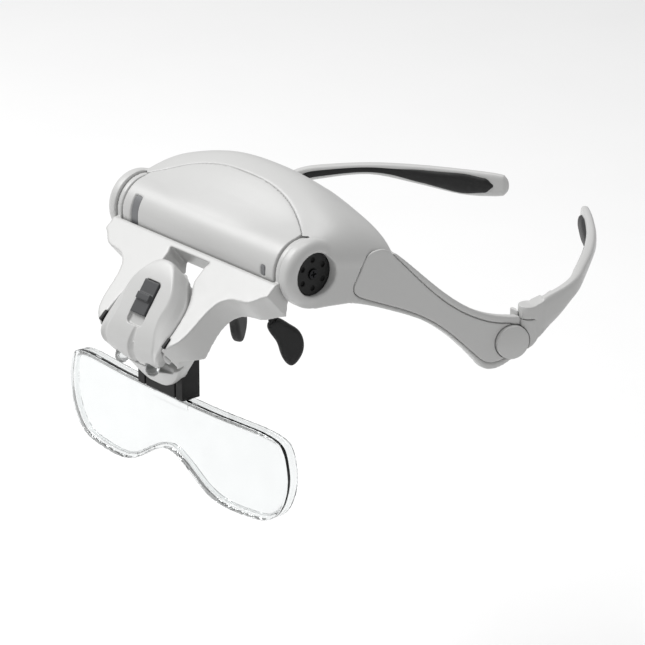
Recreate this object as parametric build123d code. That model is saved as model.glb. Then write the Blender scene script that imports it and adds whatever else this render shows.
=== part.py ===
from build123d import *
import os

# Head visor magnifier: a brow visor with side wings, folding ear pieces, nose pads, and a
# tilting bracket that carries an LED lamp and a plug-in two-lobe lens.
# Millimetres. +X is the wearer's left, +Y runs back to the ears, +Z is up, and the origin is
# the nose rest, midway between the two nose pads. Sub-assemblies are drawn about the centre
# of the bracket's tilt axis, and save() moves them to the nose rest.

# ---------------------------------------------------------------- driving dimensions
TILT_AXIS = (0, -17, 39)       # centre of the tilt axis, from the nose rest

TUBE_R = 11.0                  # brow tube
TUBE_HALF = 40.3
TUBE_WALL = 1.8
WALL = 2.2                     # visor shell
SEAM = 0.3                     # visible gap between moulded pieces
FIT = 0.05                     # running fit, on the radius

DISC_R = 10.8                  # bracket end discs, between tube and lugs
DISC_X = (41.1, 43.4)
LUG_X = (43.8, 49.0)
LUG_R = 11.6
LUG_ROUND = 3.0                # rounded outer rim of each lug
PIVOT_R = 3.0
CAP_R = 7.3                    # black cap in each lug
CAP_RECESS = 1.6

WING_THICK = 3.4
SOCKET_THICK = 7.6             # swollen wing end that takes the ear piece

# Shell sections: y, crest, height at x = 18, height at x = 36, shoulder height, half width
SHELL = [
    (-6.3, 9.0, 9.0, 9.0, 7.0, 48.0),
    (0.0, 13.2, 12.6, 11.5, 9.4, 48.9),
    (6.0, 17.2, 16.4, 14.2, 9.8, 50.2),
    (12.0, 20.8, 19.8, 16.4, 9.4, 51.9),
    (18.0, 22.2, 21.0, 16.4, 8.2, 53.0),
    (24.0, 20.4, 19.2, 14.4, 6.0, 54.2),
    (29.5, 16.4, 15.6, 11.2, 2.6, 55.4),
]
SHELL_BASE = -12.0
WING_PLAN = [(-12, 48.9), (0, 48.9), (6, 50.2), (12, 51.8), (24, 54), (39, 58.3), (50, 62.0),
             (60, 66), (74, 70.4)]     # y and x of the wing's outer face

BUTTON_AT = (68.7, 68.6, -34.2)    # centre of the round release button, on the wing's face
BUTTON_TILT = -17.0            # its face follows the wing's
BUTTON_R = 5.9
BUTTON_DEPTH = 0.5             # of the button behind the wing's face, at rest
BUTTON_TRAVEL = 0.6
FOLD_AT = (69.0, 75.6)         # x and y of the fold pin
KNUCKLE_R = 3.5
FOLD_PIN_R = 1.1

# Ear piece: centre line points, half thickness and half height at each
EAR_LINE = [
    (71.6, 80.6, -25.3, 2.3, 5.6),
    (73.2, 88.0, -20.7, 2.2, 3.6),
    (68.2, 99.5, -17.4, 2.0, 2.5),
    (57.5, 113.5, -16.4, 1.9, 2.1),
    (45.5, 126.0, -18.2, 1.9, 3.5),
    (33.5, 136.3, -20.1, 1.9, 4.7),
    (24.5, 143.2, -20.4, 1.8, 4.4),
    (20.4, 146.2, -20.4, 1.3, 2.9),
]

SLOPE_Y, SLOPE_Z = -0.75, -0.66            # bracket's front face runs forward and down
BRACKET_TOP = (0, -12.2, -2.0)
LAMP_PIVOT = (-35.5, -26.0)                # y and z of the lamp's tilt pins
LENS_R = 500.0                             # lens wrap radius
LENS_FRONT = -24.0
CLIP_X = 12.0
POCKET_DEPTH = 9.2                         # lamp pocket, below the bracket's face
LED_X = (-8.2, 8.2)
CELL_R = 10.0                              # coin cells
CELL_THICK = 1.6
CELL_S = 24.4
CELL_DEPTH = 0.4
LAMP_PIN_R = 1.1
SPLIT_DEPTH = 1.2              # lamp halves meet here, below the bracket's face
SWITCH_HALF = 4.1
SWITCH_RECESS = (-9.4, 6.6)    # along the lamp's face, from its middle
KNOB = (-5.6, 6.3)


# ---------------------------------------------------------------- small helpers
def outline(plane, *runs):
    """Face bounded by runs of points: two points make a line, more make a spline."""
    edges = [Line(*run) if len(run) == 2 else Spline(*run) for run in runs]
    return plane * make_face(edges)


def x_cylinder(radius, x0, x1, y=0.0, z=0.0):
    return Pos((x0 + x1) / 2, y, z) * (Rot(0, 90, 0) * Cylinder(radius, abs(x1 - x0)))


def block(x0, x1, y0, y1, z0, z1):
    return Pos((x0 + x1) / 2, (y0 + y1) / 2, (z0 + z1) / 2) * Box(x1 - x0, y1 - y0, z1 - z0)


def side_prism(x0, x1, *runs):
    """Outline in (y, z), extruded from x0 to x1."""
    return Pos(x0, 0, 0) * extrude(outline(Plane.YZ, *runs), x1 - x0)


def flip(shape):
    """The same piece for the other side of the head."""
    return shape.mirror(Plane.YZ)


def save(name, shape):
    solids = shape.solids()
    whole = solids[0] if len(solids) == 1 else Compound(children=list(solids))
    export_step(Pos(*TILT_AXIS) * whole, f"parts/{name}.step")


def save_pair(name, shape):
    """Wearer's left is +X."""
    save(f"left_{name}", shape)
    save(f"right_{name}", flip(shape))


# ---------------------------------------------------------------- visor frame and cover
def shell_section(y, crest, z18, z36, shoulder, half, inset=0.0, base=SHELL_BASE):
    """Arch across the brow at one distance back."""
    half -= inset
    side = [(half, shoulder - 9 - inset), (half - 0.3, shoulder - 4.5 - inset)]
    top = [(half - 3.0, shoulder - inset), (36 - inset, z36 - inset), (18, z18 - inset), (0, crest - inset)]
    pts = side + top
    arch = pts + [(-x, z) for x, z in reversed(pts[:-1])]
    walls = [[(half, base), arch[0]], [arch[-1], (-half, base)], [(-half, base), (half, base)]]
    return Pos(0, y, 0) * outline(Plane.XZ, walls[0], arch, walls[1], walls[2])


def brow_shell():
    outer = loft([shell_section(*row) for row in SHELL])
    cut = [shell_section(row[0] + grow, *row[1:], inset=WALL, base=SHELL_BASE - 2)
           for row, grow in zip(SHELL, (-0.01, 0, 0, 0, 0, 0, 0.01))]
    return outer - loft(cut)


def cover_region(gap):
    """Plan area of the front cover, whose rear edge is an arc over the brow."""
    half = TUBE_HALF + gap
    arc = [(-half, 1.2), (-29.3, 6.9), (-18, 9.9), (0, 10.9), (18, 9.9), (29.3, 6.9), (half, 1.2)]
    arc = [(x, y + gap) for x, y in arc]
    face = outline(Plane.XY, arc, [(half, 1.2 + gap), (half, -20)],
                   [(half, -20), (-half, -20)], [(-half, -20), (-half, 1.2 + gap)])
    return extrude(face, 40)


def wing_band(thick, extra=0.0):
    """Vertical band that follows the wing's plan curve."""
    outer = [(x + extra, y) for y, x in WING_PLAN]
    inner = [(x - thick, y) for y, x in WING_PLAN]
    face = outline(Plane.XY, outer, [outer[-1], inner[-1]], inner[::-1], [inner[0], outer[0]])
    return Pos(0, 0, -60) * extrude(face, 90)


WING_TOP = [(29.4, 2.4), (38.6, -6.6), (48, -15.5), (57.5, -22), (64.6, -24.5), (71.4, -25.6)]
WING_FOOT = [(0, -11.4), (13.5, -12.3), (27.5, -17.4), (39.8, -23.3), (49.5, -31.2), (58.3, -41.6)]
WING_END = [(58.3, -41.6), (60.2, -43.0), (63.6, -43.0), (67.6, -41.3), (71.4, -38.8)]


def wing_side(x0, x1):
    return side_prism(x0, x1, WING_FOOT, WING_END, [WING_END[-1], WING_TOP[-1]], WING_TOP[::-1],
                      [WING_TOP[0], (4, 4.5)], [(4, 4.5), WING_FOOT[0]])


def button_space(radius, low, high):
    """Cylinder on the release button's axis, between two heights from the wing's face."""
    return Pos(*BUTTON_AT) * (Rot(0, 0, BUTTON_TILT) * x_cylinder(radius, low, high))


def button_well():
    """Room for the release button and its travel."""
    return button_space(BUTTON_R + 0.2, -BUTTON_DEPTH - BUTTON_TRAVEL - 0.3, 20)


def hinge_plug(gap):
    """Tongue of the hinge block that plugs into the wing's end."""
    return block(64.0 - gap, 65.9 + gap, 65.5 - gap, 74, -38.0 - gap, -28.6 + gap)


def wing():
    plate = wing_side(40, 80) & wing_band(WING_THICK)
    swell = wing_band(SOCKET_THICK) & block(40, 80, 62.5, 71.4, -39.6, -26.8)
    body = plate + swell
    body -= hinge_plug(0.2)
    return body - button_well()


PANEL_FRONT = [(16.6, -11.0), (13.7, -7.4), (16.2, -1.4), (18.9, 3.4), (24.2, 4.8), (28.4, 2.0)]
PANEL_TOP = [(28.4, 2.0), (38.0, -8.8), (46.6, -17.4), (55.4, -23.6), (62.6, -26.6), (68.2, -27.6)]
PANEL_BACK = [(68.2, -27.6), (69.6, -33.0), (68.4, -38.4)]
PANEL_FOOT = [(68.4, -38.4), (64.4, -40.6), (60.6, -40.7), (56.4, -37.4), (48.4, -28.9), (39.6, -21.9),
              (27.4, -15.8), (16.6, -11.0)]


PANEL_MIDDLE = ((20.0, -4.6), (63.0, -34.0))


def grown(y, z, gap):
    """Point moved away from the side panel's middle line."""
    (y0, z0), (y1, z1) = PANEL_MIDDLE
    foot_y = min(max(y, y0), y1)
    foot = Vector(foot_y, z0 + (z1 - z0) * (foot_y - y0) / (y1 - y0))
    step = (Vector(y, z) - foot).normalized() * gap
    return (y + step.X, z + step.Y)


def wing_panel_prism(gap):
    """Outline of the inset side panel, grown by a gap about its middle line."""
    runs = []
    for run in (PANEL_FRONT, PANEL_TOP, PANEL_BACK, PANEL_FOOT):
        runs.append([grown(y, z, gap) for y, z in run])
    return side_prism(40, 80, *runs)


def wing_panel():
    body = wing_panel_prism(-SEAM / 2) & wing_band(1.1)
    return body - button_space(BUTTON_R + 0.2, -5, 20)


def lug_blank():
    """Round boss with a rounded outer rim."""
    body = x_cylinder(LUG_R, *LUG_X)
    return fillet(body.edges().filter_by(GeomType.CIRCLE).sort_by(Axis.X)[-1], LUG_ROUND)


def lug():
    body = lug_blank()
    body -= x_cylinder(CAP_R + 0.15, LUG_X[1] - CAP_RECESS - 1.8, LUG_X[1] + 1)
    return body - x_cylinder(PIVOT_R + FIT, LUG_X[0] - 1, LUG_X[1] - CAP_RECESS - 1.8 + 0.01)


def lug_corner():
    """What lies outside the lugs' circle, below and in front of the tilt axis."""
    return block(-60, 60, -20, 0, -20, 0) - x_cylinder(LUG_R, -61, 61)


def visor_frame(shell):
    body = shell - lug_corner()
    for side in (1, -1):
        piece = wing() + lug()
        body += piece if side > 0 else flip(piece)
        panel = wing_panel_prism(SEAM / 2) & wing_band(1.15, 2.0)
        body -= panel if side > 0 else flip(panel)
    body -= block(-20, 20, 28.2, 40, 0, 30)
    body -= cover_region(0.03)
    body -= x_cylinder(TUBE_R + SEAM, -DISC_X[0] + 0.3, DISC_X[0] - 0.3)
    for side in (1, -1):
        low, high = sorted((side * (DISC_X[0] - 0.6), side * (DISC_X[1] + 0.35)))
        body -= x_cylinder(DISC_R + 0.5, low, high)
        body -= block(low, high, -20, 0.4, 0, 14)
        hole = x_cylinder(PIVOT_R + FIT, side * 43, side * 47)
        body -= hole
        cap = x_cylinder(CAP_R + 0.15, side * (LUG_X[1] - CAP_RECESS - 1.8), side * (LUG_X[1] + 6))
        body -= cap
    return body.solids().sort_by(SortBy.VOLUME)[-1]


def front_cover(shell):
    tube = x_cylinder(TUBE_R, -TUBE_HALF, TUBE_HALF)
    body = tube + (shell & cover_region(0))
    body -= x_cylinder(TUBE_R - TUBE_WALL, -TUBE_HALF + 2, TUBE_HALF - 2)
    body -= index_strip_band(0.15, 2.0)
    body -= index_window_block(0.1)
    return body


def index_strip_band(gap, outward):
    """Curved band let into the front of the tube near its right end."""
    ring = x_cylinder(TUBE_R + outward, -35.8 - gap, -32.2 + gap) - x_cylinder(TUBE_R - 0.9, -40, -30)
    wedge = side_prism(-40, -30, [(0, 0), (-16, 13.5)], [(-16, 13.5), (-30, 0)],
                       [(-30, 0), (-16, -10.5)], [(-16, -10.5), (0, 0)])
    return ring & wedge


def index_window_block(gap):
    return block(33.9 - gap, 35.9 + gap, -11.2 - gap * 5, -9.9, -1.2 - gap, 2.0 + gap)


# ---------------------------------------------------------------- bracket
def slope_plane(depth=0.0):
    """Plane of the bracket's front face: local x is +X, local y runs down the slope."""
    normal = Vector(0, SLOPE_Z, -SLOPE_Y).normalized()
    origin = Vector(*BRACKET_TOP) - normal * depth
    return Plane(origin=origin, x_dir=(1, 0, 0), z_dir=normal)


def slope_prism(points_runs, depth0, depth1):
    """Outline drawn on the bracket's front slope (x, distance down), cut to a depth range."""
    runs = [[(x, -s) for x, s in run] for run in points_runs]
    face = outline(slope_plane(depth0), *runs)
    return extrude(face, depth1 - depth0, dir=-slope_plane().z_dir)


BRACKET_EDGE = [(DISC_X[1], 5.0), (40.4, 7.2), (38.0, 9.2), (31.0, 10.6), (26.5, 13.0), (24.2, 18.0),
                (23.2, 26.0), (21.5, 31.5), (17.0, 36.0), (9.0, 39.6), (0, 40.8)]
POCKET_EDGE = [(10.6, 1.9), (9.2, 6.6), (9.6, 10.0), (12.2, 14.2), (14.8, 19.0), (16.2, 25.0), (16.7, 31.0),
               (16.0, 36.8), (12.4, 41.4), (5.0, 43.2)]


def bracket_profile(x0, x1):
    front = [(-12.2, -2.0), (-37.0, -23.8)]
    chin = [(-37.0, -23.8), (-39.0, -28.5), (-35.6, -35.5), (-31.0, -41.5), (-28.6, -45.0)]
    under = [(-28.6, -45.0), (-26.0, -45.6), (-24.6, -43.0)]
    back = [(-24.6, -43.0), (-25.8, -33.5), (-21.0, -24.0), (-14.6, -17.6), (-7.8, -14.2)]
    rear = [[(-7.8, -14.2), (-6.0, -2.0)], [(-6.0, -2.0), (-12.2, -2.0)]]
    return side_prism(x0, x1, front, chin, under, back, *rear)


CHIN_FRONT = [(0, -45.6), (6, -44.6), (11, -41.5), (15, -37), (18.5, -31)]


def chin_trim():
    """What lies outside the chin's rounded front outline."""
    loop = [(-x, z) for x, z in reversed(CHIN_FRONT)] + CHIN_FRONT[1:]
    runs = [loop, [(18.5, -31), (60, -31)], [(60, -31), (60, -60)], [(60, -60), (-60, -60)],
            [(-60, -60), (-60, -31)], [(-60, -31), (-18.5, -31)]]
    return extrude(outline(Plane.XZ, *runs), 60, both=True)


def lens_bracket():
    right = BRACKET_EDGE
    left = [(-x, s) for x, s in reversed(right)]
    half = DISC_X[1]
    plate = slope_prism([[(-half, 5.0), (-half, -2)], [(-half, -2), (half, -2)], [(half, -2), (half, 5.0)],
                         right + left[1:]], -6, 40)
    body = bracket_profile(-half, half) & plate
    far_edge = [(-x, s) for x, s in reversed(POCKET_EDGE)]
    pocket = [POCKET_EDGE, [POCKET_EDGE[-1], far_edge[0]], far_edge, [far_edge[-1], POCKET_EDGE[0]]]
    body -= slope_prism(pocket, -20, POCKET_DEPTH)
    body -= slope_prism(pocket, -20, 13.0) & block(-20, 20, -50, -10, -40, -26)
    body -= slope_block(-9.5, 9.5, 1.9, 16.0, -20, 40)
    body -= block(-13.4, 13.4, -45, -31.2, -37.6, -20)
    for side in (1, -1):
        body += x_cylinder(DISC_R, side * DISC_X[0], side * DISC_X[1])
        body += x_cylinder(PIVOT_R, side * DISC_X[0], side * 45.3)
    body -= x_cylinder(TUBE_R + 0.4, -DISC_X[0], DISC_X[0])
    body -= slope_block(16.0, 17.6, 31.4, 35.2, -3, 5.0) + slope_block(-17.6, -16.0, 31.4, 35.2, -3, 5.0)
    body -= block(-CLIP_X - 0.1, CLIP_X + 0.1, -27.0, -10, -50, -30)
    return body - chin_trim()


# ---------------------------------------------------------------- lamp
LAMP_EDGE = [(3.6, 5.8), (7.6, 9.8), (11.2, 14.0), (14.0, 19.0), (15.4, 25.0), (15.9, 31.0), (15.2, 36.2),
             (11.6, 40.4), (5.0, 41.6)]


def lamp_prism(inset, depth0, depth1):
    """Plan outline of the lamp on the bracket's slope."""
    pts = [(x - inset * x / 15.9, s + inset * (24.0 - s) / 18.0) for x, s in LAMP_EDGE]
    left = [(-x, s) for x, s in reversed(pts)]
    return slope_prism([pts, [pts[-1], left[0]], left, [left[-1], pts[0]]], depth0, depth1)


def lamp_profile(inset):
    """Side outline of the lamp: a face that bows out, and lobes that hang at the bottom."""
    k = inset
    face = [(-21.0, -3.9 - k), (-23.6, -3.6 - k), (-27.8, -7.8 - k), (-32.3 + k / 2, -14.4 - k / 2),
            (-36.8 + k, -21.0), (-39.4 + k, -27.0), (-38.8 + k, -32.4), (-36.2 + k / 2, -35.6 + k)]
    foot = [(-36.2 + k / 2, -35.6 + k), (-33.8 - k, -34.0)]
    back = [(-33.8 - k, -34.0), (-15.6 - k, -12.6 - k)]
    return side_prism(-20, 20, face, foot, back, [(-15.6 - k, -12.6 - k), (-21.0, -3.9 - k)])


def lamp_solid(inset):
    return lamp_prism(inset, -6, 22) & lamp_profile(inset)


def slope_block(x0, x1, s0, s1, depth0, depth1):
    """Box in the bracket's slope frame."""
    corners = [(x0, s0), (x1, s0), (x1, s1), (x0, s1)]
    sides = [[corners[i], corners[(i + 1) % 4]] for i in range(4)]
    return slope_prism(sides, depth0, depth1)


def slope_disc(radius, x, s, depth0, depth1):
    face = slope_plane(depth0) * (Pos(x, -s, 0) * Circle(radius))
    return extrude(face, depth1 - depth0, dir=-slope_plane().z_dir)


def face_plane(lift=0.0):
    """Plane of the lamp's face under the switch: local y runs up the face."""
    normal = Vector(0, -0.82, 0.57).normalized()
    return Plane(origin=Vector(0, -32.3, -14.6) + normal * lift, x_dir=(1, 0, 0), z_dir=normal)


def face_block(half, low, high, lift0, lift1):
    """Box standing on the lamp's face, from low to high along it."""
    centre = Pos(0, (low + high) / 2, (lift0 + lift1) / 2)
    return face_plane() * centre * Box(2 * half, high - low, lift1 - lift0)


def lamp_front():
    body = lamp_solid(0) & slope_block(-20, 20, -5, 45, -12, SPLIT_DEPTH)
    body -= lamp_solid(1.6) & slope_block(-20, 20, -5, 45, -12, 30)
    groove = Pos(0, -41.2, -31.0) * (Rot(8, 0, 0) * Cylinder(3.0, 14))
    body -= groove
    body -= face_block(SWITCH_HALF, *SWITCH_RECESS, -0.9, 6)
    body -= face_block(2.1, -5.2, 3.4, -5, 1)
    body -= slope_disc(CELL_R + 0.2, 0, CELL_S, CELL_DEPTH - 0.1, 5)
    for x in LED_X:
        body -= led(x, 0.1)
    return body.solids().sort_by(SortBy.VOLUME)[-1]


def lamp_back():
    body = lamp_solid(0) & slope_block(-20, 20, -5, 45, SPLIT_DEPTH + 0.02, 30)
    body -= lamp_solid(1.4) & slope_block(-20, 20, -5, 45, -5, 30)
    for x in LED_X:
        body -= led(x, 0.1)
    for side in (1, -1):
        body += x_cylinder(LAMP_PIN_R, side * 14.6, side * 17.2, *LAMP_PIVOT)
    return body.solids().sort_by(SortBy.VOLUME)[-1]


def lamp_bush():
    """Black friction bush that the lamp's pin turns in, let into the bracket arm."""
    body = slope_block(16.3, 17.6, 31.4, 35.2, -0.3, 5.0)
    return body - x_cylinder(LAMP_PIN_R + FIT, 14, 19, *LAMP_PIVOT)


def led(x, gap):
    """Clear domed LED that looks down at the work."""
    dome = Pos(0, 0, -3.6) * Sphere(2.4 + gap)
    barrel = Cylinder(2.4 + gap, 7.2)
    return Pos(x, -35.4, -32.6) * (Rot(-14, 0, 0) * (dome + barrel))


def coin_cells():
    """Two coin cells stacked along the slope's normal."""
    cells = []
    for i in range(2):
        depth = CELL_DEPTH + i * (CELL_THICK + 0.02)
        cells.append(slope_disc(CELL_R, 0, CELL_S, depth, depth + CELL_THICK))
    return Compound(children=cells)


def lamp_board():
    body = slope_block(-7.0, 7.0, 13.5, 27.0, -0.5, 0.1)
    return body + slope_block(-3.0, 3.0, 14.5, 17.0, -1.3, -0.4)


def battery_contact():
    """Sprung strip behind the cells, with a raised tongue."""
    low = CELL_DEPTH + 2 * CELL_THICK + 0.06
    strip = slope_block(-3.0, 3.0, 16.0, 33.0, low + 0.3, low + 0.7)
    return strip + slope_block(-2.0, 2.0, 21.0, 27.0, low, low + 0.35)


def switch_knob():
    body = face_block(3.8, *KNOB, -0.6, 0.9)
    body += face_block(3.3, -0.9, 1.5, 0.8, 1.9)
    body += face_block(1.7, -1.2, 1.8, -2.2, -0.5)
    return body


# ---------------------------------------------------------------- lens and its clip
LENS_TOP = [(0, -50.0), (14.0, -50.2), (28.0, -50.3), (42.0, -50.2), (51.0, -50.9), (56.4, -53.2)]
LENS_SIDE = [(58.4, -58.0), (59.2, -63.5), (58.0, -70.6), (54.6, -77.0), (49.0, -81.0)]
LENS_NOSE = [(40.5, -82.3), (28.5, -82.4), (20.0, -80.4), (12.0, -75.8), (5.6, -72.2), (0, -70.8)]


def lens_prism(inset):
    """Two-lobe outline, drawn in towards a point inside each lobe by the inset."""
    right = LENS_TOP[1:] + LENS_SIDE + LENS_NOSE[:-1]
    right = [inward(x, z, inset) for x, z in right]
    loop = [(0, LENS_TOP[0][1] - inset)] + right + [(0, LENS_NOSE[-1][1] + inset)]
    loop += [(-x, z) for x, z in reversed(right)]
    face = Plane.XZ * make_face(Spline(*loop, periodic=True))
    return extrude(face, 60, both=True)


def inward(x, z, inset):
    """Point moved by about the inset towards the lobe's long middle line."""
    middle = Vector(min(x, 44.0), -66.0)
    step = (middle - Vector(x, z)).normalized() * inset
    return (x + step.X, z + step.Y)


def wrap_band(back0, back1):
    """Part of a tall ring that follows the wrap of the lens."""
    tall = 120
    ring = Cylinder(LENS_R - back0, tall) - Cylinder(LENS_R - back1, tall)
    return Pos(0, LENS_FRONT + LENS_R, -60) * ring & block(-70, 70, -60, 20, -100, -20)


def lens():
    plate = lens_prism(0) & wrap_band(0, 2.2)
    rim = (lens_prism(0) - lens_prism(1.5)) & wrap_band(0, 4.6)
    tab = block(-9.6, 9.6, LENS_FRONT + 0.2, LENS_FRONT + 2.4, -54, -38.5)
    return (plate + rim + tab).solids().sort_by(SortBy.VOLUME)[-1]


def lens_clip():
    body = block(-CLIP_X, CLIP_X, -26.9, -19.4, -49.0, -31.0)
    body -= block(-9.8, 9.8, LENS_FRONT - 0.2, LENS_FRONT + 2.7, -60, -38.2)
    for x in (-8.1, 8.1):
        body -= block(x - 0.35, x + 0.35, -30, LENS_FRONT, -60, -43.5)
    return body


# ---------------------------------------------------------------- nose pads
NOSE_ARM = [(10.0, 11.6, -19.5), (10.6, 11.8, -25.0), (11.3, 12.6, -31.5)]
NOSE_ARM_R = 1.4
PAD_EDGE = [(10.9, -30.2), (13.3, -29.2), (17.4, -31.5), (21.1, -34.5), (22.5, -39.0), (20.9, -44.2),
            (18.1, -46.4), (15.4, -44.0), (12.8, -37.0)]
PAD_SPLAY = 28.0               # each pad opens towards the wearer


def nose_bridge():
    body = block(-11.4, 11.4, 9.6, 13.6, -21.5, -17.5) + block(-6, 6, 12.0, 14.6, -18.5, 17.3)
    return body + nose_arm(1) + nose_arm(-1)


def nose_arm(side):
    path = [Vector(side * x, y, z) for x, y, z in NOSE_ARM]
    start = Plane(origin=path[0], z_dir=path[1] - path[0])
    return sweep(start * Circle(NOSE_ARM_R), path=Polyline(*path), transition=Transition.ROUND)


def nose_pad():
    """Soft teardrop pad, cut where the arm enters it."""
    face = Plane.YZ * make_face(Spline(*PAD_EDGE, periodic=True))
    body = extrude(face, 1.9, both=True)
    body = Pos(0, -17, 0) * fillet(body.edges(), 1.3)
    body = Pos(13.6, 17, 0) * (Rot(0, 0, -PAD_SPLAY) * body)
    return (body - nose_arm(1)).solids().sort_by(SortBy.VOLUME)[-1]


# ---------------------------------------------------------------- ear pieces
def ear_section(point, ahead, half_t, half_h, shift=0.0):
    direction = (Vector(*ahead) - Vector(*point)).normalized()
    across = Vector(direction.Y, -direction.X, 0).normalized()
    origin = Vector(*point) + across * shift
    plane = Plane(origin=origin, x_dir=across, z_dir=direction)
    radius = min(half_t, half_h) * 0.75
    return plane * RectangleRounded(2 * half_t, 2 * half_h, radius)


def ear_sweep(rows, thick, tall, shift):
    """Loft along the ear line, with its thickness and height scaled."""
    sections = []
    for i, row in enumerate(rows):
        before = rows[max(i - 1, 0)]
        after = rows[min(i + 1, len(rows) - 1)]
        point = Vector(*row[:3])
        ahead = point + Vector(*after[:3]) - Vector(*before[:3])
        sections.append(ear_section(point, ahead, row[3] * thick, row[4] * tall, shift * row[3]))
    return loft(sections)


HINGE_FOOT = [(70.5, -39.3), (76.6, -35.0), (81.0, -31.0), (90.0, -23.1)]
ROOT_TOP = [(75.6, -22.4), (84.6, -18.6)]
ROOT_FOOT = [(75.6, -35.7), (84.6, -27.8)]
ROOT_OUTSIDE = [(72.2, 75.6), (73.4, 80.6), (73.6, 84.6)]      # x and y of its outer face
KNUCKLE_SPLIT = -27.0          # ear piece's knuckle above, hinge block's below


def root_plan():
    """Plan of the root, whose outer face carries on from the wing's."""
    (x0, y0), (x1, y1) = ROOT_OUTSIDE[0], ROOT_OUTSIDE[-1]
    return ROOT_OUTSIDE, [(x1, y1), (68.0, y1)], [(68.0, y1), (68.0, y0)], [(68.0, y0), (x0, y0)]


def ear_root():
    """Tall root of the ear piece, behind and above the hinge block's knuckle."""
    x, y = FOLD_AT
    side = side_prism(68.1, 73.6, ROOT_TOP, [ROOT_TOP[1], ROOT_FOOT[1]], ROOT_FOOT[::-1],
                      [ROOT_FOOT[0], ROOT_TOP[0]])
    side &= extrude(outline(Plane.XY, *root_plan()), 60, both=True)
    behind = side & block(69.4, 73.6, y, 85, -40, -10)
    behind -= Pos(x, y, -30) * Cylinder(KNUCKLE_R + 0.35, 30)
    above = side & block(68.1, 73.6, y, 80.6, KNUCKLE_SPLIT + 0.15, -10)
    return behind + above + Pos(x, y, -24.6) * Cylinder(KNUCKLE_R, 4.5)


def ear_piece():
    x, y = FOLD_AT
    body = ear_sweep(EAR_LINE, 1.0, 1.0, 0.0) + ear_root()
    body -= ear_grip()
    body -= Pos(x, y, -24.8) * Cylinder(FOLD_PIN_R + FIT, 30)
    return body.solids().sort_by(SortBy.VOLUME)[-1]


def ear_grip():
    """Rubber inlay on the inner face."""
    return ear_sweep(EAR_LINE[1:-1], 0.35, 0.66, -0.72)


def hinge_block():
    x, y = FOLD_AT
    head = block(64.0, 70.4, 71.7, 72.9, -42, -24.2) + block(66.6, 71.0, 72.4, y, -42, -22.6)
    head -= Pos(x, y, -24.5) * Cylinder(KNUCKLE_R + 0.35, 5.3)
    body = head + Pos(x, y, -34.6) * Cylinder(KNUCKLE_R, 15.0)
    over = side_prism(60, 80, HINGE_FOOT[:2], HINGE_FOOT[1:3], [HINGE_FOOT[2], (81, -20)],
                      [(81, -20), (70.5, -20)], [(70.5, -20), HINGE_FOOT[0]])
    body = (body & over) + hinge_plug(0)
    body -= button_well()
    return body - Pos(x, y, -30) * Cylinder(FOLD_PIN_R, 30)


def fold_pin():
    x, y = FOLD_AT
    return Pos(x, y, -28.9) * Cylinder(FOLD_PIN_R, 12.4)


def release_button():
    """Round cap, slightly domed, in the wing's end."""
    dome = Pos(*BUTTON_AT) * (Rot(0, 0, BUTTON_TILT) * (Pos(2.2 - 30.0, 0, 0) * Sphere(30.0)))
    return button_space(BUTTON_R, -BUTTON_DEPTH, 2.4) & dome


# ---------------------------------------------------------------- caps, pins, inner pieces
def lug_cap():
    x1 = LUG_X[1] - CAP_RECESS
    cap = x_cylinder(CAP_R, x1 - 1.6, x1)
    for angle in range(0, 360, 60):
        spoke = Rot(angle, 0, 0) * (Pos(0, 0, 4.9) * x_cylinder(0.9, x1 - 0.8, x1 + 1))
        cap -= spoke
    return cap - x_cylinder(1.75, x1 - 3, x1 + 1)


def pivot_screw():
    """Cross-head screw that holds the disc's pivot in the lug."""
    x1 = LUG_X[1] - CAP_RECESS
    head = x_cylinder(1.7, x1 - 1.3, x1 + 0.5)
    slot = block(x1 - 0.2, x1 + 1, -1.1, 1.1, -0.25, 0.25)
    return head - slot - Rot(90, 0, 0) * slot


def main():
    os.makedirs("parts", exist_ok=True)
    shell = brow_shell()
    save("visor_frame", visor_frame(shell))
    save("front_cover", front_cover(shell))
    save("index_strip", index_strip_band(0, -0.35))
    save("index_window", index_window_block(0) - block(30, 40, -13, -10.9, -5, 5))
    save_pair("wing_panel", wing_panel())
    save_pair("lug_cap", lug_cap())
    save("pivot_screws", Compound(children=[pivot_screw(), flip(pivot_screw())]))
    save("lens_bracket", lens_bracket())
    save("lens_clip", lens_clip())
    save("lens", lens())
    save("lamp_front", lamp_front())
    save("lamp_back", lamp_back())
    save("leds", Compound(children=[led(x, 0) for x in LED_X]))
    save("switch_knob", switch_knob())
    save("coin_cells", coin_cells())
    save("lamp_board", lamp_board())
    save("battery_contact", battery_contact())
    save("lamp_bushes", Compound(children=[lamp_bush(), flip(lamp_bush())]))
    save("nose_bridge", nose_bridge())
    save_pair("nose_pad", nose_pad())
    save_pair("hinge_block", hinge_block())
    save_pair("fold_pin", fold_pin())
    save_pair("release_button", release_button())
    save_pair("ear_piece", ear_piece())
    save_pair("ear_grip", ear_grip())


if __name__ == "__main__":
    main()
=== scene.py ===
"""Head visor magnifier: finishes, detailed pieces and a plain studio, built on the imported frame."""
import math

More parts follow.
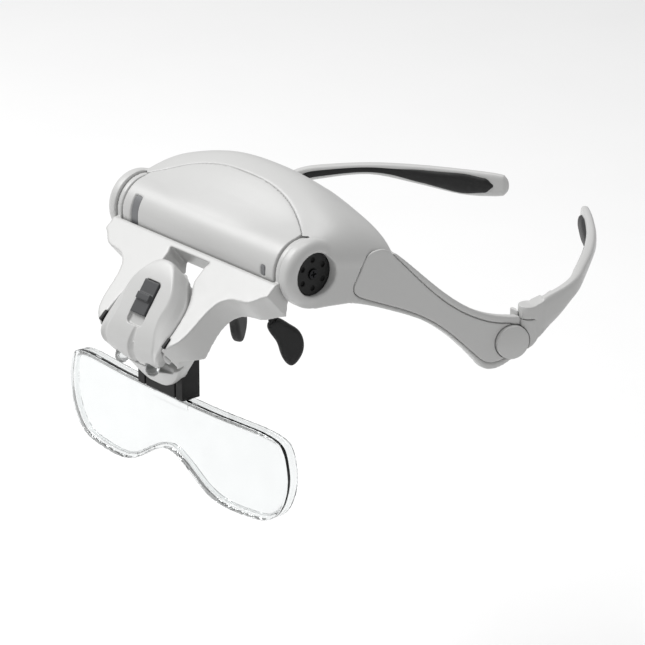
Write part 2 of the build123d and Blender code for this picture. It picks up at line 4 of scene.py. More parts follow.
import bmesh
import bpy
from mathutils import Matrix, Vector


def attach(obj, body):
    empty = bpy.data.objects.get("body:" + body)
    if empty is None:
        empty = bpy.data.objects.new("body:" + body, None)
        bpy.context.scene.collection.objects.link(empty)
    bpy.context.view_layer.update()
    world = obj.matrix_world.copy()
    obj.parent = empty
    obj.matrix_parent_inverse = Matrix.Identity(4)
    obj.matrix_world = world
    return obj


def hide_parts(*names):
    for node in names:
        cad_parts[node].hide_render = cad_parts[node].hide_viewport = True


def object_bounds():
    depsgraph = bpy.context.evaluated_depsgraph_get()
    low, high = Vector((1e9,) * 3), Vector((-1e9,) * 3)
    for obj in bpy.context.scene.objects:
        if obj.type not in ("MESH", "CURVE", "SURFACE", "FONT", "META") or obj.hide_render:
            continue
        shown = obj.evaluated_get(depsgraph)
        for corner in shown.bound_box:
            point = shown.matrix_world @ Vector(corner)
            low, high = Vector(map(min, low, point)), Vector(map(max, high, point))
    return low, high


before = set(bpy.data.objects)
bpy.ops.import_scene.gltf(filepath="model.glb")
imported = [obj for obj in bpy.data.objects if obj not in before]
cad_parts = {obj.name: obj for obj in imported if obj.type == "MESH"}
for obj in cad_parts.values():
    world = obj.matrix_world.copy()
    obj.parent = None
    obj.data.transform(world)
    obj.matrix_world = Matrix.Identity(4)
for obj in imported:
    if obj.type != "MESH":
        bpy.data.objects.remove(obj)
CAD_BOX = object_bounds()

bl_info = {
    "name": "Head visor magnifier",
    "version": (1, 0, 0),
    "blender": (4, 5, 0),
    "location": "3D View > Sidebar > Visor",
    "description": "Builds the pieces and finishes of a head visor magnifier on its packed frame",
    "category": "Object",
}

MM = 0.001
SIDES = (("left", 1), ("right", -1))
TILT_AXIS = Vector((0.0, -17.0, 39.0))     # centre of the bracket's tilt axis, mm


# ---------------------------------------------------------------- settings
class VISOR_PG_finish(bpy.types.PropertyGroup):
    shell: bpy.props.StringProperty(
        name="Shell", description="White of the moulded shell, sRGB", default="#C6C6C5")
    black: bpy.props.StringProperty(
        name="Black trim", description="Black of caps and clip, sRGB", default="#0B0B0B")
    rubber: bpy.props.StringProperty(
        name="Rubber", description="Black of pads and inlays, sRGB", default="#0C0C0D")
    grey: bpy.props.StringProperty(
        name="Switch", description="Dark grey of the slide switch, sRGB", default="#3A3B3D")
    mark: bpy.props.StringProperty(
        name="Index marks", description="Grey of the index marks, sRGB", default="#77787A")


class VISOR_PG_softening(bpy.types.PropertyGroup):
    cell: bpy.props.FloatProperty(
        name="Cell", description="Grid that the moulded edges are rounded on", default=0.35 * MM, unit="LENGTH")
    passes: bpy.props.IntProperty(name="Passes", description="Smoothing passes over the grid", default=7)


class VISOR_PG_studio(bpy.types.PropertyGroup):
    distance: bpy.props.FloatProperty(
        name="Distance", description="Camera to object", default=1.5, unit="LENGTH")
    lens: bpy.props.FloatProperty(name="Lens", description="Focal length in mm", default=251.2)
    azimuth: bpy.props.FloatProperty(
        name="Azimuth", description="Turn round the object", default=math.radians(50.2), subtype="ANGLE")
    elevation: bpy.props.FloatProperty(
        name="Elevation", description="Height over the horizon", default=math.radians(21.0), subtype="ANGLE")
    drop: bpy.props.FloatProperty(
        name="Floor drop", description="Floor below the object's lowest point", default=0.10, unit="LENGTH")


# ---------------------------------------------------------------- materials
def linear(hex_colour, alpha=1.0):
    """sRGB hex to linear RGBA."""
    parts = [int(hex_colour[i:i + 2], 16) / 255 for i in (1, 3, 5)]
    parts = [c / 12.92 if c <= 0.04045 else ((c + 0.055) / 1.055) ** 2.4 for c in parts]
    return (*parts, alpha)


def node(tree, kind, settings=None, **inputs):
    """Adds a node; settings are its attributes, inputs are values or sockets to link."""
    n = tree.nodes.new(kind)
    for key, value in (settings or {}).items():
        setattr(n, key, value)
    for key, value in inputs.items():
        numbered = key[0] == "i" and key[1:].isdigit()
        socket = n.inputs[int(key[1:]) if numbered else key.replace("_", " ")]
        if isinstance(value, bpy.types.NodeSocket):
            tree.links.new(value, socket)
        else:
            socket.default_value = value
    return n


def new_material(name):
    mat = bpy.data.materials.new(name)
    mat.use_nodes = True
    tree = mat.node_tree
    tree.nodes.clear()
    shader = node(tree, "ShaderNodeBsdfPrincipled")
    out = node(tree, "ShaderNodeOutputMaterial")
    tree.links.new(shader.outputs[0], out.inputs[0])
    place = node(tree, "ShaderNodeTexCoord").outputs["Object"]
    return mat, tree, shader, place


def moulded(name, colour, rough, grain_mm, grain_depth_mm, tint=0.02, spread=0.06, sheen=0.0, ior=1.5):
    """Moulded plastic or rubber: fine spark-eroded grain, slow drift in tone and gloss."""
    mat, tree, shader, place = new_material(name)
    slow = node(tree, "ShaderNodeTexNoise", Vector=place, Scale=1 / (22 * MM), Detail=2.0)
    wear = node(tree, "ShaderNodeTexNoise", Vector=place, Scale=1 / (3.5 * MM), Detail=4.0, Roughness=0.6)
    grain = node(tree, "ShaderNodeTexNoise", Vector=place, Scale=1 / (grain_mm * MM), Detail=2.0)
    tone = node(tree, "ShaderNodeMapRange", i0=slow.outputs[0], i1=0.3, i2=0.7, i3=1 - tint, i4=1.0)
    multiply = {"data_type": "RGBA", "blend_type": "MULTIPLY"}
    base = node(tree, "ShaderNodeMix", multiply, i0=1.0, i6=linear(colour))
    grey = node(tree, "ShaderNodeCombineColor", i0=tone.outputs[0], i1=tone.outputs[0], i2=tone.outputs[0])
    tree.links.new(grey.outputs[0], base.inputs[7])
    tree.links.new(base.outputs[2], shader.inputs["Base Color"])
    gloss = node(tree, "ShaderNodeMapRange", i0=wear.outputs[0], i1=0.3, i2=0.7,
                 i3=rough - spread / 2, i4=rough + spread / 2)
    tree.links.new(gloss.outputs[0], shader.inputs["Roughness"])
    bump = node(tree, "ShaderNodeBump", Strength=1.0, Distance=grain_depth_mm * MM, Height=grain.outputs[0])
    tree.links.new(bump.outputs[0], shader.inputs["Normal"])
    shader.inputs["IOR"].default_value = ior
    shader.inputs["Sheen Weight"].default_value = sheen
    return mat


def clear(name, colour, light, ior, rough, flow_mm):
    """Clear moulded plastic: polished, with faint flow ripples from the gate."""
    mat, tree, shader, place = new_material(name)
    shader.inputs["Transmission Weight"].default_value = 1.0
    shader.inputs["IOR"].default_value = ior
    flow = node(tree, "ShaderNodeTexNoise", Vector=place, Scale=1 / (flow_mm * MM), Detail=1.0)
    tone = node(tree, "ShaderNodeMix", {"data_type": "RGBA"}, i0=flow.outputs[0],
                i6=linear(colour), i7=linear(light))
    tree.links.new(tone.outputs[2], shader.inputs["Base Color"])
    gloss = node(tree, "ShaderNodeMapRange", i0=flow.outputs[0], i1=0.3, i2=0.7, i3=rough, i4=rough + 0.02)
    tree.links.new(gloss.outputs[0], shader.inputs["Roughness"])
    bump = node(tree, "ShaderNodeBump", Strength=0.4, Distance=0.01 * MM, Height=flow.outputs[0])
    tree.links.new(bump.outputs[0], shader.inputs["Normal"])
    return mat


def metal(name, colour, light, rough, line_mm):
    """Plated or rolled metal with drawn lines."""
    mat, tree, shader, place = new_material(name)
    shader.inputs["Metallic"].default_value = 1.0
    stretch = node(tree, "ShaderNodeMapping", Vector=place, Scale=(1.0, 12.0, 1.0))
    lines = node(tree, "ShaderNodeTexNoise", Vector=stretch.outputs[0], Scale=1 / (line_mm * MM), Detail=3.0)
    tone = node(tree, "ShaderNodeMix", {"data_type": "RGBA"}, i0=lines.outputs[0],
                i6=linear(colour), i7=linear(light))
    tree.links.new(tone.outputs[2], shader.inputs["Base Color"])
    gloss = node(tree, "ShaderNodeMapRange", i0=lines.outputs[0], i1=0.3, i2=0.7, i3=rough, i4=rough + 0.12)
    tree.links.new(gloss.outputs[0], shader.inputs["Roughness"])
    bump = node(tree, "ShaderNodeBump", Strength=0.5, Distance=0.01 * MM, Height=lines.outputs[0])
    tree.links.new(bump.outputs[0], shader.inputs["Normal"])
    return mat


def make_materials():
    """One material for each real finish, by record slot."""
    f = bpy.context.scene.visor_finish
    return {
        # ABS, injection moulded in a lightly textured tool: soft broad highlights
        "shell_plastic": moulded("abs_moulded_white", f.shell, 0.36, 0.28, 0.010, tint=0.012),
        "bracket_plastic": moulded("abs_moulded_white_bracket", f.shell, 0.33, 0.28, 0.008, tint=0.012),
        # nylon, moulded: deep black with a dull grain
        "black_plastic": moulded("nylon_moulded_black", f.black, 0.55, 0.30, 0.020, tint=0.25, ior=1.42),
        # ABS, moulded dark grey: the switch, a little glossier where fingers rub it
        "grey_plastic": moulded("abs_moulded_grey", f.grey, 0.45, 0.30, 0.020, tint=0.15, spread=0.12),
        "mark_plastic": moulded("abs_moulded_mark", f.mark, 0.42, 0.30, 0.010, tint=0.10),
        # thermoplastic rubber, moulded: matt with a faint dusty sheen
        "rubber_black": moulded("rubber_moulded_black", f.rubber, 0.62, 0.35, 0.030, tint=0.30, sheen=0.08),
        # acrylic, moulded and polished: clear with bright refracting edges
        "lens_clear": clear("acrylic_moulded_clear", "#ECEEEE", "#F3F5F5", 1.49, 0.0, 9.0),
        "led_clear": clear("epoxy_cast_clear", "#E4E6E6", "#F4F6F6", 1.53, 0.03, 1.5),
        # steel, black oxide: dark with a dull metallic glint
        "steel": metal("steel_black_oxide", "#1E1E20", "#3A3A3C", 0.34, 0.6),
        "cell_steel": metal("steel_nickel_plated", "#B9B8B4", "#E8E7E2", 0.22, 0.8),
        "board_green": moulded("board_epoxy_glass", "#1C5A36", 0.40, 0.5, 0.010, tint=0.15),
        "contact_brass": metal("brass_rolled", "#A8823E", "#D8B878", 0.30, 0.5),
    }


def dress(obj, slot_name):
    obj.data.materials.clear()
    obj.data.materials.append(MATERIALS[slot_name])


def dress_node(name, slot_name):
    """New finish on a carried-over node, put in its object's own material slots."""
    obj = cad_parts[name]
    for s in obj.material_slots:
        s.link = "OBJECT"
        s.material = MATERIALS[slot_name]


MATERIALS = {}


# ---------------------------------------------------------------- mesh helpers
def soften(name, cell=1.0, passes=1.0):
    """Rounds a moulded node's edges: the solid is regridded and smoothed."""
    s = bpy.context.scene.visor_softening
    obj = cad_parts[name]
    grid = obj.modifiers.new("regrid", "REMESH")
    grid.mode = "VOXEL"
    grid.voxel_size = s.cell * cell
    grid.use_smooth_shade = True
    smooth = obj.modifiers.new("round", "SMOOTH")
    smooth.factor = 0.5
    smooth.iterations = max(1, round(s.passes * passes))


def mesh_from(name, shells):
    """Mesh in metres from (vertices, faces) shells given in mm about the tilt axis."""
    verts, faces = [], []
    for shell_verts, shell_faces in shells:
        start = len(verts)
        verts += [(Vector(v) + TILT_AXIS) * MM for v in shell_verts]
        faces += [tuple(i + start for i in f) for f in shell_faces]
    mesh = bpy.data.meshes.new(name)
    mesh.from_pydata(verts, [], faces)
    bm = bmesh.new()
    bm.from_mesh(mesh)
    bmesh.ops.recalc_face_normals(bm, faces=bm.faces)
    bm.to_mesh(mesh)
    bm.free()
    mesh.shade_smooth()
    return mesh


def put(obj, body, slot_name, replaced=()):
    """Finish, slot and body of a new piece."""
    if obj.name not in bpy.context.scene.collection.objects:
        bpy.context.scene.collection.objects.link(obj)
    dress(obj, slot_name)
    if replaced:
        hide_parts(*replaced)
    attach(obj, body)
    return obj


def add_piece(name, verts, faces, body, slot_name, replaced=()):
    """New piece, subdivided once, riding on a body."""
    obj = bpy.data.objects.new(name, mesh_from(name, [(verts, faces)]))
    sub = obj.modifiers.new("subdivision", "SUBSURF")
    sub.levels = sub.render_levels = 1
    return put(obj, body, slot_name, replaced)


def fused(name, shells, cell_mm, passes, cutters=()):
    """Closed shells joined into one solid, cut, regridded and rounded; returns the object."""
    obj = bpy.data.objects.new(name, mesh_from(name, shells))
    bpy.context.scene.collection.objects.link(obj)
    tools = []
    for i, shell in enumerate(cutters):
        tool = bpy.data.objects.new(f"{name}_tool{i}", mesh_from(f"{name}_tool{i}", [shell]))
        bpy.context.scene.collection.objects.link(tool)
        cut = obj.modifiers.new(f"cut{i}", "BOOLEAN")
        cut.operation = "DIFFERENCE"
        cut.solver = "EXACT"
        cut.object = tool
        tools.append(tool)
    grid = obj.modifiers.new("regrid", "REMESH")
    grid.mode = "VOXEL"
    grid.voxel_size = cell_mm * MM
    grid.use_smooth_shade = True
    smooth = obj.modifiers.new("round", "SMOOTH")
    smooth.factor = 0.5
    smooth.iterations = passes
    bpy.context.view_layer.update()
    final = bpy.data.meshes.new_from_object(obj.evaluated_get(bpy.context.evaluated_depsgraph_get()))
    obj.modifiers.clear()
    obj.data = final
    obj.data.shade_smooth()
    for tool in tools:
        bpy.data.objects.remove(tool)
    return obj


def prism_shell(outline_points, x0, x1):
    """Closed prism of a side outline in (y, z)."""
    n = len(outline_points)
    verts = [(x0, y, z) for y, z in outline_points] + [(x1, y, z) for y, z in outline_points]
    faces = [tuple(range(n)), tuple(range(n, 2 * n))]
    faces += [(i, (i + 1) % n, (i + 1) % n + n, i + n) for i in range(n)]
    return verts, faces


def disc_shell(x, y, radius, z0, z1, count=40):
    """Closed upright disc."""
    turns = [2 * math.pi * i / count for i in range(count)]
    verts = [(x + radius * math.cos(t), y + radius * math.sin(t), z) for z in (z0, z1) for t in turns]
    faces = [tuple(range(count)), tuple(range(count, 2 * count))]
    faces += [(i, (i + 1) % count, (i + 1) % count + count, i + count) for i in range(count)]
    return verts, faces


def mirrored(shell, side):
    verts, faces = shell
    return [(side * x, y, z) for x, y, z in verts], faces


def rings_to_mesh(rings):
    """Quads between rings of equal length, with a small fan at each end."""
    verts = [p for ring in rings for p in ring]
    n = len(rings[0])
    faces = []
    for i in range(len(rings) - 1):
        for j in range(n):
            k = (j + 1) % n
            faces.append((i * n + j, i * n + k, (i + 1) * n + k, (i + 1) * n + j))
    for first in (0, (len(rings) - 1) * n):
        middle = sum((Vector(v) for v in verts[first:first + n]), Vector()) / n
        verts.append(tuple(middle))
        centre = len(verts) - 1
        faces += [(centre, first + j, first + (j + 1) % n) for j in range(n)]
    return verts, faces


def spline_rows(rows, steps):
    """Catmull-Rom points between rows of numbers."""
    out = []
    for i in range(len(rows) - 1):
        p0, p1 = rows[max(i - 1, 0)], rows[i]
        p2, p3 = rows[i + 1], rows[min(i + 2, len(rows) - 1)]
        for s in range(steps):
            t = s / steps
            out.append(tuple(0.5 * (2 * b + (c - a) * t + (2 * a - 5 * b + 4 * c - d) * t * t
                                    + (3 * b - a - 3 * c + d) * t ** 3)
                             for a, b, c, d in zip(p0, p1, p2, p3)))
    return out + [tuple(rows[-1])]


# ---------------------------------------------------------------- ear pieces
# centre line, half thickness and half height, mm
EAR_LINE = [
    (71.3, 79.8, -26.3, 2.1, 6.0), (72.3, 83.4, -24.0, 2.0, 5.0), (72.9, 88.6, -20.8, 1.9, 3.5),
    (72.0, 93.6, -18.7, 1.9, 2.9), (68.2, 99.5, -17.4, 2.0, 2.5),
    (57.5, 113.5, -16.4, 1.9, 2.1), (45.5, 126.0, -18.2, 1.9, 3.5), (33.5, 136.3, -20.1, 1.9, 4.7),
    (24.5, 143.2, -20.4, 1.8, 4.4), (20.4, 146.2, -20.4, 1.5, 3.7),
]
FOLD_AT = (69.0, 75.6)
KNUCKLE_R = 3.5
ROOT_FROM, ROOT_LEVEL = 79.8, 12.0      # where the ear line starts, and how far it stays upright
# share of the ear piece's height, and how proud, at places along the inlay
INLAY_HEIGHT = [(0.0, 0.15), (0.05, 0.42), (0.35, 0.46), (0.58, 0.44), (0.70, 0.66), (0.84, 0.78),
                (0.95, 0.60), (1.0, 0.12)]
INLAY_PROUD = [(0.0, 0.15), (0.60, 0.25), (0.74, 1.5), (0.94, 1.5), (1.0, 0.3)]
INLAY_START, INLAY_STOP = 22, -13       # first and last ring of the ear line that it covers
RING_PITCH = 1.3                        # of the rings moulded in the inlay
RING_DEPTH = 0.07
RINGS_FROM = 0.6                        # they lie on the last part of the inlay
PAD_MIDDLE = 0.80


def ear_frames(steps=5):
    """(point, along, across, up, half thickness, half height) along the ear line."""
    rows = spline_rows(EAR_LINE, steps)
    frames = []
    for i, row in enumerate(rows):
        a, b = rows[max(i - 1, 0)], rows[min(i + 1, len(rows) - 1)]
        along = (Vector(b[:3]) - Vector(a[:3])).normalized()
        across = Vector((along.y, -along.x, 0)).normalized()
        rise = min(max((row[1] - ROOT_FROM) / ROOT_LEVEL, 0.0), 1.0)
        level = Vector((along.x, along.y, along.z * rise)).normalized()
        frames.append((Vector(row[:3]), level, across, across.cross(level), row[3], row[4]))
    return frames


def superellipse(half_a, half_b, power, count):
    pts = []
    for i in range(count):
        t = 2 * math.pi * i / count
        c, s = math.cos(t), math.sin(t)
        pts.append((half_a * math.copysign(abs(c) ** (2 / power), c),
                    half_b * math.copysign(abs(s) ** (2 / power), s)))
    return pts


def ear_ring(ear_frame, along, scale):
    point, ahead, across, up, half_t, half_h = ear_frame
    middle = point + ahead * along
    section = superellipse(half_t * scale, half_h * scale, 3.0, 24)
    return [tuple(middle + across * a + up * b) for a, b in section]


def ear_bar():
    """Rounded bar along the ear line, with a round tip."""
    frames = ear_frames()
    rings = [ear_ring(f, 0.0, 1.0) for f in frames[:-1]]
    for k in range(1, 6):
        turn = math.radians(18 * k)
        rings.append(ear_ring(frames[-1], 2.6 * math.sin(turn) - 1.6, max(math.cos(turn), 0.08)))
    return rings_to_mesh(rings)


def ear_shells():
    """Bar, tall root that wraps round the fixed knuckle, and the moving knuckle's disc."""
    x, y = FOLD_AT
    outside = [(72.2, 75.6), (72.9, 78.6), (73.3, 81.6), (73.3, 84.2)]
    inside = [(70.0, 84.2), (70.0, 79.6), (71.4, 78.9), (72.1, 78.0)]
    behind = slanted_shell(outside + inside, (75.6, -35.6, -22.5), (84.2, -28.2, -19.2))
    over_knuckle = [(72.2, 75.6), (72.9, 78.6), (73.2, 81.2), (68.4, 81.2), (67.4, 78.0), (68.2, 75.6)]
    above = slanted_shell(over_knuckle, (75.6, -26.85, -22.5), (81.2, -26.85, -20.5))
    return [ear_bar(), behind, above, disc_shell(x, y, KNUCKLE_R, -26.85, -22.4)]


def slanted_shell(plan, front, back):
    """Upright prism of a plan, with foot and top sloping between (y, foot, top) at its ends."""
    def height(y, k):
        t = (y - front[0]) / (back[0] - front[0])
        return front[k] + (back[k] - front[k]) * t
    n = len(plan)
    verts = [(x, y, height(y, k)) for k in (1, 2) for x, y in plan]
    faces = [tuple(range(n)), tuple(range(n, 2 * n))]
    faces += [(i, (i + 1) % n, (i + 1) % n + n, i + n) for i in range(n)]
    return verts, faces


def interpolate(table, t):
    """Smooth value of a table of (place, value) pairs."""
    for (t0, v0), (t1, v1) in zip(table, table[1:]):
        if t <= t1:
            s = (t - t0) / (t1 - t0)
            s = s * s * (3 - 2 * s)
            return v0 + (v1 - v0) * s
    return table[-1][1]


def inlay():
    """Rubber inlay on the inner face, broad and proud near the tip, with rings moulded in it."""
    frames = ear_frames(14)[INLAY_START:INLAY_STOP]
    count = len(frames) - 1
    pad = frames[int(count * PAD_MIDDLE)][0]
    rings = []
    for i, (point, ahead, across, up, half_t, half_h) in enumerate(frames):
        share = interpolate(INLAY_HEIGHT, i / count)
        proud = interpolate(INLAY_PROUD, i / count)
        ring = []
        for a, b in superellipse(1.0, 1.0, 2.6, 36):
            place = point + up * (b * half_h * share)
            depth = half_t * 0.95 - a * 0.45 if a > 0 else half_t * 0.95 - a * proud
            ringed = a < -0.3 and i > count * RINGS_FROM
            wave = RING_DEPTH * math.cos((place - pad).length * 2 * math.pi / RING_PITCH) if ringed else 0.0
            ring.append(tuple(place - across * (depth + wave)))
        rings.append(ring)
    return rings_to_mesh(rings)


class VISOR_OT_ear_pieces(bpy.types.Operator):
    """Both folding ear pieces and their rubber inlays"""
    bl_idname = "visor.ear_pieces"
    bl_label = "Ear pieces"

    def execute(self, context):
        for name, side in SIDES:
            shells = [mirrored(shell, side) for shell in ear_shells()]
            ear = fused(f"{name}_ear_arm", shells, 0.30, 6)
            put(ear, f"{name}_ear", "shell_plastic", [f"{name}_ear_piece"])
            verts, faces = mirrored(inlay(), side)
            add_piece(f"{name}_ear_inlay", verts, faces, f"{name}_ear", "rubber_black",
                      [f"{name}_ear_grip"])
        return {"FINISHED"}


# ---------------------------------------------------------------- shell, cover and wings
class VISOR_OT_shell(bpy.types.Operator):
    """Brow shell with wings, front cover and side panels"""
    bl_idname = "visor.shell"
    bl_label = "Shell"

    def execute(self, context):
        dress_node("visor_frame", "shell_plastic")
        soften("visor_frame", 1.15, 1.3)
        dress_node("front_cover", "shell_plastic")
        soften("front_cover")
        for name, _ in SIDES:
            dress_node(f"{name}_wing_panel", "shell_plastic")
            soften(f"{name}_wing_panel", 0.7)
            dress_node(f"{name}_hinge_block", "shell_plastic")
            soften(f"{name}_hinge_block", 0.7)
            dress_node(f"{name}_release_button", "shell_plastic")
            soften(f"{name}_release_button", 0.6)
            dress_node(f"{name}_fold_pin", "steel")
        for name in ("index_strip", "index_window"):
            dress_node(name, "mark_plastic")
            soften(name, 0.4, 0.4)
        return {"FINISHED"}


class VISOR_OT_pivots(bpy.types.Operator):
    """Black caps and their cross-head screws"""
    bl_idname = "visor.pivots"
    bl_label = "Pivots"

    def execute(self, context):
        for name, _ in SIDES:
            dress_node(f"{name}_lug_cap", "black_plastic")
            soften(f"{name}_lug_cap", 0.45, 0.5)
        dress_node("pivot_screws", "steel")
        soften("pivot_screws", 0.25, 0.4)
        return {"FINISHED"}


class VISOR_OT_bracket(bpy.types.Operator):
    """Tilting bracket, lens clip and lamp bushes"""
    bl_idname = "visor.bracket"
    bl_label = "Bracket"

    def execute(self, context):
        dress_node("lens_bracket", "bracket_plastic")
        soften("lens_bracket")
        dress_node("lens_clip", "black_plastic")
        soften("lens_clip", 0.6, 0.6)
        dress_node("lamp_bushes", "black_plastic")
        soften("lamp_bushes", 0.4, 0.4)
        return {"FINISHED"}


SLOPE_TOP = Vector((0, -12.2, -2.0))
SLOPE_DOWN = Vector((0, -0.75, -0.66)).normalized()
SLOPE_OUT = Vector((0, -0.66, 0.75)).normalized()
FACE_MIDDLE = Vector((0, -32.3, -14.6))
FACE_UP = Vector((0, 0.57, 0.82)).normalized()
FACE_OUT = Vector((0, -0.82, 0.57)).normalized()
LAMP_PIVOT = (-35.5, -26.0)
LAMP_PIN_R = 1.1
LED_X = (-8.2, 8.2)
LED_SEAT_R = 2.55
# down the slope, how far the sides trail, half width, plateau half width, middle height, edge height
LAMP_ROWS = [
    (8.6, 2.4, 8.0, 3.0, 5.2, 0.4), (9.0, 2.6, 8.6, 3.6, 6.3, 0.5), (10.2, 3.2, 9.8, 5.6, 6.6, 0.5),
    (13.4, 3.6, 13.0, 8.4, 6.3, 0.4), (17.6, 2.4, 15.0, 10.6, 5.5, 0.4), (22.5, 1.2, 15.9, 11.2, 4.4, 0.3),
    (27.5, 0.6, 16.1, 10.6, 3.2, 0.0), (32.0, 0.2, 16.1, 11.2, 1.9, -0.3), (35.6, 0.0, 16.0, 12.4, 0.3, -0.8),
    (38.4, -0.2, 15.6, 12.6, -1.7, -1.9), (40.2, -0.6, 14.8, 12.2, -4.4, -3.8),
    (41.0, -1.2, 13.6, 11.4, -7.2, -6.0), (40.7, -1.6, 12.6, 10.6, -9.2, -8.0),
    (39.6, -1.8, 11.8, 9.8, -9.9, -9.0),
]


def on_slope(x, s, h):
    return tuple(Vector((x, 0, 0)) + SLOPE_TOP + SLOPE_DOWN * s + SLOPE_OUT * h)


def lamp_face_shell():
    """Face of the lamp: a plateau with sloping sides that curves under into two lobes."""
    rings = []
    for s, trail, half, flat, mid, edge in spline_rows(LAMP_ROWS, 4):
        right = [(0.0, mid), (flat * 0.5, mid - 0.04), (flat - 0.5, mid - 0.16), (flat + 0.2, mid - 0.5),
                 ((flat + half) / 2, (mid + edge) / 2), (half - 0.7, edge + 0.45),
                 (half, edge), (half, edge - 0.7)]
        floor_s = min(s, 36.4)
        floor_h = -1.2 if s < 36 else min(-1.2, mid + 1.4)
        ring = [(x, s + trail * (x / half) ** 2, h) for x, h in right]
        ring += [(half - 0.1, floor_s + trail, min(floor_h, edge - 0.8)), (half * 0.5, floor_s, floor_h)]
        left = [(-x, a, h) for x, a, h in ring[:0:-1]]
        rings.append([on_slope(*p) for p in ring + [(0, floor_s, floor_h)] + left])
    return rings_to_mesh(rings)


def lamp_back_shell():
    """Rear half, let into the bracket's pocket."""
    rings = []
    for s, trail, half, flat, mid, edge in LAMP_ROWS[:-4]:
        half -= 0.9
        s = min(s + 0.4, 37.2)
        back = -5.7 - (s - 9.5) * 0.13
        right = [(0.0, -1.5), (half * 0.6, -1.5), (half, -1.6), (half, (back - 1.5) / 2),
                 (half, back + 0.5), (half - 0.5, back)]
        ring = [(x, s + trail * (x / half) ** 2, h) for x, h in right]
        left = [(-x, a, h) for x, a, h in ring[:0:-1]]
        rings.append([on_slope(*p) for p in ring + [(0, s, back)] + left])
    return rings_to_mesh(rings)


def bar_between(points, radii, count=24):
    """Round bar through points in one upright plane, with a radius at each."""
    rings = []
    for i, point in enumerate(points):
        a, b = points[max(i - 1, 0)], points[min(i + 1, len(points) - 1)]
        along = (Vector(b) - Vector(a)).normalized()
        side = Vector((1, 0, 0)) if abs(along.x) < 0.9 else Vector((0, 1, 0))
        up = side.cross(along).normalized()
        side = along.cross(up)
        ring = []
        for k in range(count):
            t = 2 * math.pi * k / count
            ring.append(tuple(Vector(point) + (side * math.cos(t) + up * math.sin(t)) * radii[i]))
        rings.append(ring)
    return rings_to_mesh(rings)


def face_box(half, low, high, lift0, lift1, corner, steps=6):
    """Upright block with rounded corners, standing on the lamp's face."""
    outline = []
    for cx, cy, start in ((half - corner, high - corner, 0), (corner - half, high - corner, 90),
                          (corner - half, low + corner, 180), (half - corner, low + corner, 270)):
        for k in range(steps + 1):
            t = math.radians(start + 90 * k / steps)
            outline.append((cx + corner * math.cos(t), cy + corner * math.sin(t)))
    n = len(outline)
    verts = [tuple(FACE_MIDDLE + Vector((x, 0, 0)) + FACE_UP * y + FACE_OUT * lift)
             for lift in (lift0, lift1) for x, y in outline]
    faces = [tuple(range(n)), tuple(range(n, 2 * n))]
    faces += [(i, (i + 1) % n, (i + 1) % n + n, i + n) for i in range(n)]
    return verts, faces


class VISOR_OT_lamp(bpy.types.Operator):
    """Lamp with its switch, LEDs, cells and board"""
    bl_idname = "visor.lamp"
    bl_label = "Lamp"

    def execute(self, context):
        # groove between the lobes: across, down the slope and out of it, then its radius
        path = [(2.2, 30.5, 3.3), (1.8, 33.5, 2.0), (1.4, 37.0, 0.3),
                (1.0, 40.4, -3.2), (1.0, 42.0, -7.0), (1.0, 42.0, -13.0)]
        groove = bar_between([on_slope(*p) for p in path], [0.5, 1.0, 1.5, 1.9, 2.2, 2.4])
        recess = face_box(4.1, -9.4, 6.6, -0.9, 8.0, 1.7)
        seats = [bar_between([(x, -34.5, -29.2), (x, -36.35, -36.5), (x, -36.8, -38.5)], [LED_SEAT_R] * 3)
                 for x in LED_X]
        face = fused("lamp_face", [lamp_face_shell()], 0.22, 4, [groove, recess] + seats)
        put(face, "lamp", "bracket_plastic", ["lamp_front"])
        y, z = LAMP_PIVOT
        pins = [bar_between([(side * x, y, z) for x in (14.0, 15.6, 17.1)], [LAMP_PIN_R] * 3)
                for side in (1, -1)]
        back = fused("lamp_rear", [lamp_back_shell()] + pins, 0.30, 3)
        put(back, "lamp", "bracket_plastic", ["lamp_back"])
        dress_node("leds", "led_clear")
        dress_node("switch_knob", "grey_plastic")
        soften("switch_knob", 0.5, 1.6)
        dress_node("coin_cells", "cell_steel")
        dress_node("lamp_board", "board_green")
        dress_node("battery_contact", "contact_brass")
        return {"FINISHED"}


class VISOR_OT_lens(bpy.types.Operator):
    """Clear two-lobe lens"""
    bl_idname = "visor.lens"
    bl_label = "Lens"

    def execute(self, context):
        dress_node("lens", "lens_clear")
        soften("lens", 0.85, 0.7)
        return {"FINISHED"}


class VISOR_OT_nose_pads(bpy.types.Operator):
    """Nose bridge and its rubber pads"""
    bl_idname = "visor.nose_pads"
    bl_label = "Nose pads"

    def execute(self, context):
        dress_node("nose_bridge", "black_plastic")
        soften("nose_bridge")
        for name, _ in SIDES:
            dress_node(f"{name}_nose_pad", "rubber_black")
            soften(f"{name}_nose_pad", 0.7)
        return {"FINISHED"}


# ---------------------------------------------------------------- studio
def area_light(name, place, target, size, watts, colour="#FFFFFF"):
    data = bpy.data.lights.new(name, "AREA")
    data.shape = "DISK"
    data.size = size
    data.energy = watts
    data.color = linear(colour)[:3]
    obj = bpy.data.objects.new(name, data)
    obj.location = place
    obj.rotation_euler = (Vector(target) - Vector(place)).to_track_quat("-Z", "Y").to_euler()
    bpy.context.scene.collection.objects.link(obj)


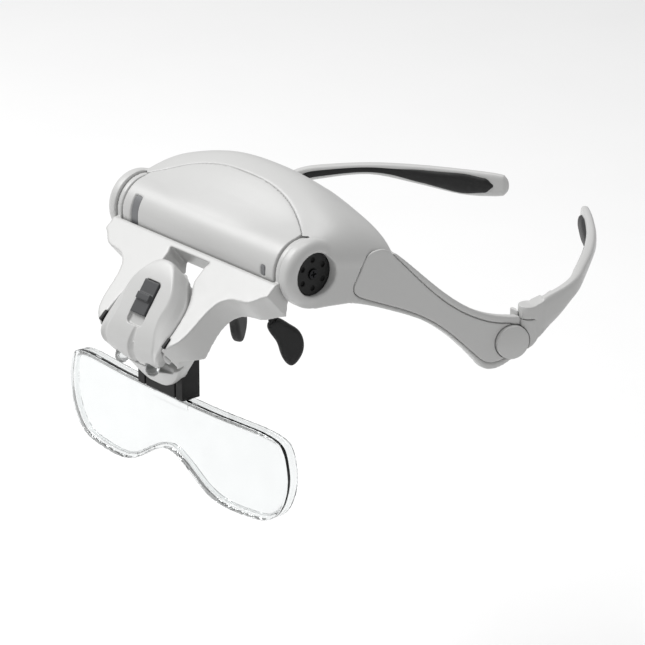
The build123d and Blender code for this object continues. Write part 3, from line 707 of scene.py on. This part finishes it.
class VISOR_OT_studio(bpy.types.Operator):
    """Camera, soft lights and a plain pale floor"""
    bl_idname = "visor.studio"
    bl_label = "Studio"

    def execute(self, context):
        s = context.scene.visor_studio
        target = (TILT_AXIS + Vector((29.38, 19.12, -26.92))) * MM
        a, e = s.azimuth, s.elevation
        back = Vector((math.sin(a) * math.cos(e), -math.cos(a) * math.cos(e), math.sin(e)))
        cam = bpy.data.objects.new("camera", bpy.data.cameras.new("camera"))
        cam.data.sensor_width = 36.0
        cam.data.lens = s.lens
        cam.data.clip_start, cam.data.clip_end = 0.01, 50.0
        cam.location = target + back * s.distance
        cam.rotation_mode = "QUATERNION"
        cam.rotation_quaternion = (-back).to_track_quat("-Z", "Y")
        context.scene.collection.objects.link(cam)
        context.scene.camera = cam

        floor_z = CAD_BOX[0].z - s.drop
        bm = bmesh.new()
        bmesh.ops.create_grid(bm, x_segments=8, y_segments=8, size=6.0)
        mesh = bpy.data.meshes.new("floor")
        bm.to_mesh(mesh)
        bm.free()
        floor = bpy.data.objects.new("floor", mesh)
        floor.location = (0, 0, floor_z)
        context.scene.collection.objects.link(floor)
        # matt paper sweep
        mat, tree, shader, place = new_material("paper_matt_white")
        fibre = node(tree, "ShaderNodeTexNoise", Vector=place, Scale=1 / (60 * MM), Detail=3.0)
        tone = node(tree, "ShaderNodeMix", {"data_type": "RGBA"}, i0=fibre.outputs[0],
                    i6=linear("#FAFAFA"), i7=linear("#FDFDFD"))
        tree.links.new(tone.outputs[2], shader.inputs["Base Color"])
        shader.inputs["Roughness"].default_value = 0.9
        shader.inputs["Specular IOR Level"].default_value = 0.2
        floor.data.materials.append(mat)

        area_light("key", (-0.75, -0.55, 1.05), (0, 0.03, 0), 0.8, 13.0)
        area_light("top", (-0.1, 0.15, 1.3), (0, 0.05, 0), 0.9, 6.0)
        context.scene.view_settings.view_transform = "Standard"
        world = bpy.data.worlds.new("studio")
        world.use_nodes = True
        world.node_tree.nodes["Background"].inputs[0].default_value = linear("#FFFFFF")
        world.node_tree.nodes["Background"].inputs[1].default_value = 0.42
        context.scene.world = world
        return {"FINISHED"}


# ---------------------------------------------------------------- panel and main
BUILDERS = (VISOR_OT_shell, VISOR_OT_pivots, VISOR_OT_bracket, VISOR_OT_lamp, VISOR_OT_lens,
            VISOR_OT_nose_pads, VISOR_OT_ear_pieces, VISOR_OT_studio)


class VISOR_PT_sidebar(bpy.types.Panel):
    bl_idname = "VISOR_PT_sidebar"
    bl_label = "Head visor magnifier"
    bl_space_type = "VIEW_3D"
    bl_region_type = "UI"
    bl_category = "Visor"

    def draw(self, context):
        for operator in BUILDERS:
            self.layout.operator(operator.bl_idname)


SETTINGS = (("visor_finish", VISOR_PG_finish), ("visor_softening", VISOR_PG_softening),
            ("visor_studio", VISOR_PG_studio))


def register():
    for _, group in SETTINGS:
        bpy.utils.register_class(group)
    for attribute, group in SETTINGS:
        setattr(bpy.types.Scene, attribute, bpy.props.PointerProperty(type=group))
    for cls in BUILDERS + (VISOR_PT_sidebar,):
        bpy.utils.register_class(cls)


def unregister():
    for cls in (VISOR_PT_sidebar,) + BUILDERS[::-1]:
        bpy.utils.unregister_class(cls)
    for attribute, group in SETTINGS:
        delattr(bpy.types.Scene, attribute)
        bpy.utils.unregister_class(group)


def main():
    register()
    MATERIALS.update(make_materials())
    for operator in BUILDERS:
        group, call = operator.bl_idname.split(".")
        getattr(getattr(bpy.ops, group), call)()


if __name__ == "__main__":
    main()
